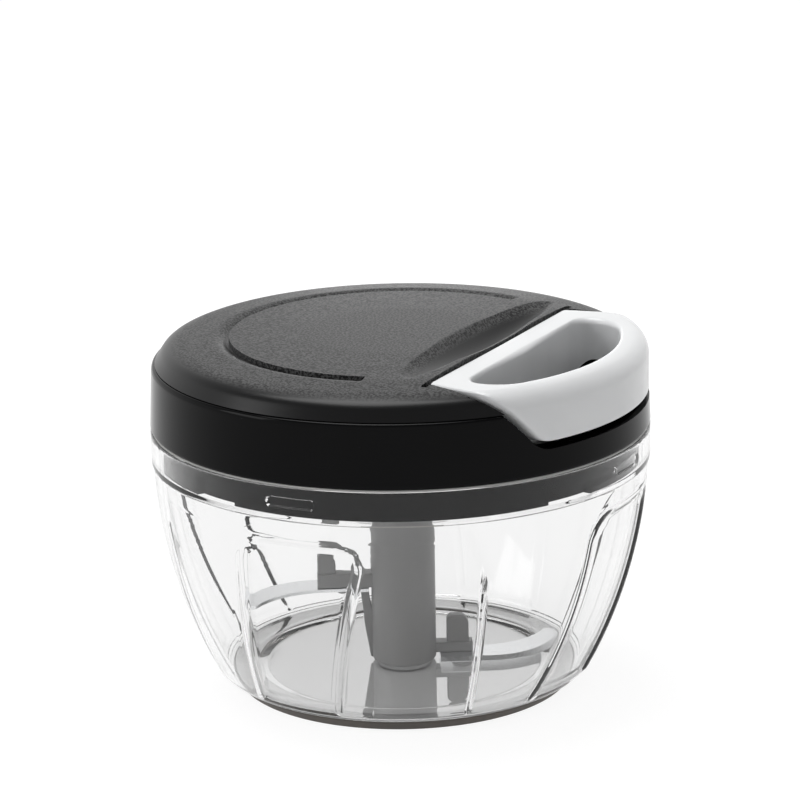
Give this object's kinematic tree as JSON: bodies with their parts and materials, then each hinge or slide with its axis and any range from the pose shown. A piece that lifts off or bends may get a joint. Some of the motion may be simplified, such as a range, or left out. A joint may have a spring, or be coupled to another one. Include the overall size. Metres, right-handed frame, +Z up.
{
  "type": "pull-string garlic chopper",
  "caption": "Hand-pulled chopper: a clear round bowl with blades on a central shaft, under a twist-lock lid with a cord reel and a recessed D-shaped pull handle.",
  "frame": {"origin": "bottom centre of the base ring, on the bowl's axis", "axes": "+Z up along the shaft, +X the way the handle is pulled, +Y completes the right-handed frame"},
  "size_m": [0.1244, 0.1244, 0.0895],
  "materials": {
    "clear_plastic": "clear, polished",
    "ring_rubber": "matt",
    "steel": "bright",
    "grey_plastic": "matt, fine grain",
    "blade_steel": "polished",
    "seal_silicone": "matt",
    "gloss_black": "gloss",
    "matt_black": "fine spark texture",
    "white_acetal": "satin",
    "spring_steel": "blued",
    "cord_nylon": "braided",
    "brass": "turned",
    "handle_plastic": "gloss"
  },
  "bodies": {
    "bowl": {"bowl": "clear_plastic", "base_ring": "ring_rubber", "bowl_pin": "steel"},
    "blade_unit": {"blade_shaft": "grey_plastic", "upper_blade": "blade_steel", "lower_blade": "blade_steel"},
    "seal": {"lid_seal": "seal_silicone"},
    "lid": {"lid_body": "gloss_black", "lid_cover": "matt_black", "underside_plate": "grey_plastic", "plate_screws": "steel", "cover_screws": "steel", "hub_screw": "steel", "hub_washer": "steel", "cord_guide": "brass", "recoil_spring": "spring_steel", "pull_cord": "cord_nylon"},
    "reel": {"cord_reel": "white_acetal", "spring_cap": "steel"},
    "hub": {"drive_hub": "white_acetal"},
    "pawl_left": {"clutch_pawl_left": "white_acetal"},
    "pawl_right": {"clutch_pawl_right": "white_acetal"},
    "handle": {"pull_handle": "handle_plastic", "cord_knot": "cord_nylon"}
  },
  "joints": [
    {"name": "handle_pull", "type": "slide", "parent": "lid", "child": "handle", "axis": [1, 0, 0], "range_m": [0, 0.5], "stiffness_N_per_m": 8, "springref_m": -0.5, "deforming": ["pull_cord"]},
    {"name": "reel_spin", "type": "hinge", "parent": "lid", "child": "reel", "pos_m": [0, 0, 0.075], "axis": [0, 0, 1], "range_deg": [-1440, 0], "deforming": ["recoil_spring"]},
    {"name": "drive_spin", "type": "hinge", "parent": "lid", "child": "hub", "pos_m": [0, 0, 0.065], "axis": [0, 0, 1], "range_deg": [-1440, 0]},
    {"name": "blade_spin", "type": "hinge", "parent": "bowl", "child": "blade_unit", "pos_m": [0, 0, 0.02], "axis": [0, 0, 1], "range_deg": [-1440, 0]},
    {"name": "pawl_left_swing", "type": "hinge", "parent": "hub", "child": "pawl_left", "pos_m": [0, 0.0095, 0.067], "axis": [0, 0, 1], "range_deg": [0, 15]},
    {"name": "pawl_right_swing", "type": "hinge", "parent": "hub", "child": "pawl_right", "pos_m": [0, -0.0095, 0.067], "axis": [0, 0, 1], "range_deg": [0, 15]},
    {"name": "lid_lift", "type": "slide", "parent": "bowl", "child": "seal", "axis": [0, 0, 1], "range_m": [0, 0.12]},
    {"name": "lid_twist", "type": "hinge", "parent": "seal", "child": "lid", "pos_m": [0, 0, 0.0665], "axis": [0, 0, 1], "range_deg": [0, 22]}
  ],
  "couplings": [
    {"joint": "reel_spin", "follows": "handle_pull", "rad_per_m": -50},
    {"joint": "drive_spin", "follows": "handle_pull", "rad_per_m": -50},
    {"joint": "blade_spin", "follows": "handle_pull", "rad_per_m": -50},
    {"joint": "pawl_right_swing", "follows": "pawl_left_swing", "ratio": 1}
  ]
}
